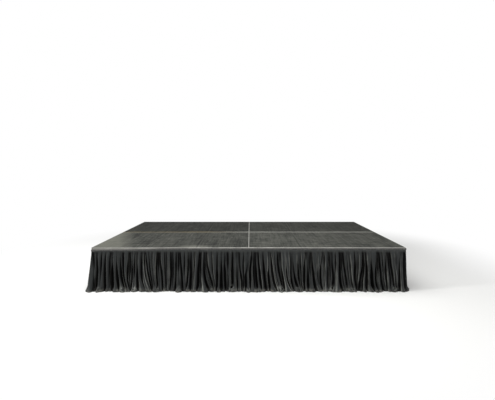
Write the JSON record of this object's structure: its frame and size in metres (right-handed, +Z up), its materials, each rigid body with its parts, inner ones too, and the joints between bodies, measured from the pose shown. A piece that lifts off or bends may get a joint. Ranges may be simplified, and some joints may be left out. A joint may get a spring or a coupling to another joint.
{
  "type": "portable stage",
  "caption": "Low portable stage of framed modular decks on plug-in legs with screw feet, with a black pleated skirt on the front and both sides and an open back.",
  "frame": {"origin": "on the floor, under the middle of the four decks", "axes": "+X along the stage's length to the audience's right, +Y from the audience side to the open back, +Z up"},
  "size_m": [4.9683, 2.4832, 0.66],
  "materials": {
    "deck_board": "satin",
    "deck_frame": "satin",
    "leg_tube": "satin",
    "clamp_screw": "satin",
    "foot": "matte",
    "skirt": "satin"
  },
  "bodies": {
    "stage": {"deck_board_fl": "deck_board", "deck_frame_fl": "deck_frame", "deck_board_fr": "deck_board", "deck_frame_fr": "deck_frame", "deck_board_bl": "deck_board", "deck_frame_bl": "deck_frame", "deck_board_br": "deck_board", "deck_frame_br": "deck_frame", "skirt_front_long": "skirt", "skirt_front_short": "skirt", "skirt_left": "skirt", "skirt_right": "skirt"},
    "leg_fl_1": {"leg_fl_1": "leg_tube"},
    "leg_clamp_fl_1": {"leg_clamp_fl_1": "clamp_screw"},
    "foot_fl_1": {"foot_fl_1": "foot"},
    "leg_fl_2": {"leg_fl_2": "leg_tube"},
    "leg_clamp_fl_2": {"leg_clamp_fl_2": "clamp_screw"},
    "foot_fl_2": {"foot_fl_2": "foot"},
    "leg_fl_3": {"leg_fl_3": "leg_tube"},
    "leg_clamp_fl_3": {"leg_clamp_fl_3": "clamp_screw"},
    "foot_fl_3": {"foot_fl_3": "foot"},
    "leg_fl_4": {"leg_fl_4": "leg_tube"},
    "leg_clamp_fl_4": {"leg_clamp_fl_4": "clamp_screw"},
    "foot_fl_4": {"foot_fl_4": "foot"},
    "leg_fr_1": {"leg_fr_1": "leg_tube"},
    "leg_clamp_fr_1": {"leg_clamp_fr_1": "clamp_screw"},
    "foot_fr_1": {"foot_fr_1": "foot"},
    "leg_fr_2": {"leg_fr_2": "leg_tube"},
    "leg_clamp_fr_2": {"leg_clamp_fr_2": "clamp_screw"},
    "foot_fr_2": {"foot_fr_2": "foot"},
    "leg_fr_3": {"leg_fr_3": "leg_tube"},
    "leg_clamp_fr_3": {"leg_clamp_fr_3": "clamp_screw"},
    "foot_fr_3": {"foot_fr_3": "foot"},
    "leg_fr_4": {"leg_fr_4": "leg_tube"},
    "leg_clamp_fr_4": {"leg_clamp_fr_4": "clamp_screw"},
    "foot_fr_4": {"foot_fr_4": "foot"},
    "leg_bl_1": {"leg_bl_1": "leg_tube"},
    "leg_clamp_bl_1": {"leg_clamp_bl_1": "clamp_screw"},
    "foot_bl_1": {"foot_bl_1": "foot"},
    "leg_bl_2": {"leg_bl_2": "leg_tube"},
    "leg_clamp_bl_2": {"leg_clamp_bl_2": "clamp_screw"},
    "foot_bl_2": {"foot_bl_2": "foot"},
    "leg_bl_3": {"leg_bl_3": "leg_tube"},
    "leg_clamp_bl_3": {"leg_clamp_bl_3": "clamp_screw"},
    "foot_bl_3": {"foot_bl_3": "foot"},
    "leg_bl_4": {"leg_bl_4": "leg_tube"},
    "leg_clamp_bl_4": {"leg_clamp_bl_4": "clamp_screw"},
    "foot_bl_4": {"foot_bl_4": "foot"},
    "leg_br_1": {"leg_br_1": "leg_tube"},
    "leg_clamp_br_1": {"leg_clamp_br_1": "clamp_screw"},
    "foot_br_1": {"foot_br_1": "foot"},
    "leg_br_2": {"leg_br_2": "leg_tube"},
    "leg_clamp_br_2": {"leg_clamp_br_2": "clamp_screw"},
    "foot_br_2": {"foot_br_2": "foot"},
    "leg_br_3": {"leg_br_3": "leg_tube"},
    "leg_clamp_br_3": {"leg_clamp_br_3": "clamp_screw"},
    "foot_br_3": {"foot_br_3": "foot"},
    "leg_br_4": {"leg_br_4": "leg_tube"},
    "leg_clamp_br_4": {"leg_clamp_br_4": "clamp_screw"},
    "foot_br_4": {"foot_br_4": "foot"}
  },
  "joints": [
    {"name": "leg_fl_1_unplug", "type": "slide", "parent": "stage", "child": "leg_fl_1", "axis": [0, 0, -1], "range_m": [0, 0.12]},
    {"name": "leg_clamp_fl_1_turn", "type": "hinge", "parent": "stage", "child": "leg_clamp_fl_1", "pos_m": [-2.3921, -1.1729, 0.592], "axis": [0.7071, 0.7071, 0], "range_deg": [0, 630]},
    {"name": "foot_fl_1_level", "type": "slide", "parent": "leg_fl_1", "child": "foot_fl_1", "axis": [0, 0, -1], "range_m": [0, 0.05]},
    {"name": "leg_fl_2_unplug", "type": "slide", "parent": "stage", "child": "leg_fl_2", "axis": [0, 0, -1], "range_m": [0, 0.12]},
    {"name": "leg_clamp_fl_2_turn", "type": "hinge", "parent": "stage", "child": "leg_clamp_fl_2", "pos_m": [-0.0463, -1.1729, 0.592], "axis": [-0.7071, 0.7071, 0], "range_deg": [0, 630]},
    {"name": "foot_fl_2_level", "type": "slide", "parent": "leg_fl_2", "child": "foot_fl_2", "axis": [0, 0, -1], "range_m": [0, 0.05]},
    {"name": "leg_fl_3_unplug", "type": "slide", "parent": "stage", "child": "leg_fl_3", "axis": [0, 0, -1], "range_m": [0, 0.12]},
    {"name": "leg_clamp_fl_3_turn", "type": "hinge", "parent": "stage", "child": "leg_clamp_fl_3", "pos_m": [-0.0463, -0.0463, 0.592], "axis": [-0.7071, -0.7071, 0], "range_deg": [0, 630]},
    {"name": "foot_fl_3_level", "type": "slide", "parent": "leg_fl_3", "child": "foot_fl_3", "axis": [0, 0, -1], "range_m": [0, 0.05]},
    {"name": "leg_fl_4_unplug", "type": "slide", "parent": "stage", "child": "leg_fl_4", "axis": [0, 0, -1], "range_m": [0, 0.12]},
    {"name": "leg_clamp_fl_4_turn", "type": "hinge", "parent": "stage", "child": "leg_clamp_fl_4", "pos_m": [-2.3921, -0.0463, 0.592], "axis": [0.7071, -0.7071, 0], "range_deg": [0, 630]},
    {"name": "foot_fl_4_level", "type": "slide", "parent": "leg_fl_4", "child": "foot_fl_4", "axis": [0, 0, -1], "range_m": [0, 0.05]},
    {"name": "leg_fr_1_unplug", "type": "slide", "parent": "stage", "child": "leg_fr_1", "axis": [0, 0, -1], "range_m": [0, 0.12]},
    {"name": "leg_clamp_fr_1_turn", "type": "hinge", "parent": "stage", "child": "leg_clamp_fr_1", "pos_m": [0.0463, -1.1729, 0.592], "axis": [0.7071, 0.7071, 0], "range_deg": [0, 630]},
    {"name": "foot_fr_1_level", "type": "slide", "parent": "leg_fr_1", "child": "foot_fr_1", "axis": [0, 0, -1], "range_m": [0, 0.05]},
    {"name": "leg_fr_2_unplug", "type": "slide", "parent": "stage", "child": "leg_fr_2", "axis": [0, 0, -1], "range_m": [0, 0.12]},
    {"name": "leg_clamp_fr_2_turn", "type": "hinge", "parent": "stage", "child": "leg_clamp_fr_2", "pos_m": [2.3921, -1.1729, 0.592], "axis": [-0.7071, 0.7071, 0], "range_deg": [0, 630]},
    {"name": "foot_fr_2_level", "type": "slide", "parent": "leg_fr_2", "child": "foot_fr_2", "axis": [0, 0, -1], "range_m": [0, 0.05]},
    {"name": "leg_fr_3_unplug", "type": "slide", "parent": "stage", "child": "leg_fr_3", "axis": [0, 0, -1], "range_m": [0, 0.12]},
    {"name": "leg_clamp_fr_3_turn", "type": "hinge", "parent": "stage", "child": "leg_clamp_fr_3", "pos_m": [2.3921, -0.0463, 0.592], "axis": [-0.7071, -0.7071, 0], "range_deg": [0, 630]},
    {"name": "foot_fr_3_level", "type": "slide", "parent": "leg_fr_3", "child": "foot_fr_3", "axis": [0, 0, -1], "range_m": [0, 0.05]},
    {"name": "leg_fr_4_unplug", "type": "slide", "parent": "stage", "child": "leg_fr_4", "axis": [0, 0, -1], "range_m": [0, 0.12]},
    {"name": "leg_clamp_fr_4_turn", "type": "hinge", "parent": "stage", "child": "leg_clamp_fr_4", "pos_m": [0.0463, -0.0463, 0.592], "axis": [0.7071, -0.7071, 0], "range_deg": [0, 630]},
    {"name": "foot_fr_4_level", "type": "slide", "parent": "leg_fr_4", "child": "foot_fr_4", "axis": [0, 0, -1], "range_m": [0, 0.05]},
    {"name": "leg_bl_1_unplug", "type": "slide", "parent": "stage", "child": "leg_bl_1", "axis": [0, 0, -1], "range_m": [0, 0.12]},
    {"name": "leg_clamp_bl_1_turn", "type": "hinge", "parent": "stage", "child": "leg_clamp_bl_1", "pos_m": [-2.3921, 0.0463, 0.592], "axis": [0.7071, 0.7071, 0], "range_deg": [0, 630]},
    {"name": "foot_bl_1_level", "type": "slide", "parent": "leg_bl_1", "child": "foot_bl_1", "axis": [0, 0, -1], "range_m": [0, 0.05]},
    {"name": "leg_bl_2_unplug", "type": "slide", "parent": "stage", "child": "leg_bl_2", "axis": [0, 0, -1], "range_m": [0, 0.12]},
    {"name": "leg_clamp_bl_2_turn", "type": "hinge", "parent": "stage", "child": "leg_clamp_bl_2", "pos_m": [-0.0463, 0.0463, 0.592], "axis": [-0.7071, 0.7071, 0], "range_deg": [0, 630]},
    {"name": "foot_bl_2_level", "type": "slide", "parent": "leg_bl_2", "child": "foot_bl_2", "axis": [0, 0, -1], "range_m": [0, 0.05]},
    {"name": "leg_bl_3_unplug", "type": "slide", "parent": "stage", "child": "leg_bl_3", "axis": [0, 0, -1], "range_m": [0, 0.12]},
    {"name": "leg_clamp_bl_3_turn", "type": "hinge", "parent": "stage", "child": "leg_clamp_bl_3", "pos_m": [-0.0463, 1.1729, 0.592], "axis": [-0.7071, -0.7071, 0], "range_deg": [0, 630]},
    {"name": "foot_bl_3_level", "type": "slide", "parent": "leg_bl_3", "child": "foot_bl_3", "axis": [0, 0, -1], "range_m": [0, 0.05]},
    {"name": "leg_bl_4_unplug", "type": "slide", "parent": "stage", "child": "leg_bl_4", "axis": [0, 0, -1], "range_m": [0, 0.12]},
    {"name": "leg_clamp_bl_4_turn", "type": "hinge", "parent": "stage", "child": "leg_clamp_bl_4", "pos_m": [-2.3921, 1.1729, 0.592], "axis": [0.7071, -0.7071, 0], "range_deg": [0, 630]},
    {"name": "foot_bl_4_level", "type": "slide", "parent": "leg_bl_4", "child": "foot_bl_4", "axis": [0, 0, -1], "range_m": [0, 0.05]},
    {"name": "leg_br_1_unplug", "type": "slide", "parent": "stage", "child": "leg_br_1", "axis": [0, 0, -1], "range_m": [0, 0.12]},
    {"name": "leg_clamp_br_1_turn", "type": "hinge", "parent": "stage", "child": "leg_clamp_br_1", "pos_m": [0.0463, 0.0463, 0.592], "axis": [0.7071, 0.7071, 0], "range_deg": [0, 630]},
    {"name": "foot_br_1_level", "type": "slide", "parent": "leg_br_1", "child": "foot_br_1", "axis": [0, 0, -1], "range_m": [0, 0.05]},
    {"name": "leg_br_2_unplug", "type": "slide", "parent": "stage", "child": "leg_br_2", "axis": [0, 0, -1], "range_m": [0, 0.12]},
    {"name": "leg_clamp_br_2_turn", "type": "hinge", "parent": "stage", "child": "leg_clamp_br_2", "pos_m": [2.3921, 0.0463, 0.592], "axis": [-0.7071, 0.7071, 0], "range_deg": [0, 630]},
    {"name": "foot_br_2_level", "type": "slide", "parent": "leg_br_2", "child": "foot_br_2", "axis": [0, 0, -1], "range_m": [0, 0.05]},
    {"name": "leg_br_3_unplug", "type": "slide", "parent": "stage", "child": "leg_br_3", "axis": [0, 0, -1], "range_m": [0, 0.12]},
    {"name": "leg_clamp_br_3_turn", "type": "hinge", "parent": "stage", "child": "leg_clamp_br_3", "pos_m": [2.3921, 1.1729, 0.592], "axis": [-0.7071, -0.7071, 0], "range_deg": [0, 630]},
    {"name": "foot_br_3_level", "type": "slide", "parent": "leg_br_3", "child": "foot_br_3", "axis": [0, 0, -1], "range_m": [0, 0.05]},
    {"name": "leg_br_4_unplug", "type": "slide", "parent": "stage", "child": "leg_br_4", "axis": [0, 0, -1], "range_m": [0, 0.12]},
    {"name": "leg_clamp_br_4_turn", "type": "hinge", "parent": "stage", "child": "leg_clamp_br_4", "pos_m": [0.0463, 1.1729, 0.592], "axis": [0.7071, -0.7071, 0], "range_deg": [0, 630]},
    {"name": "foot_br_4_level", "type": "slide", "parent": "leg_br_4", "child": "foot_br_4", "axis": [0, 0, -1], "range_m": [0, 0.05]}
  ]
}
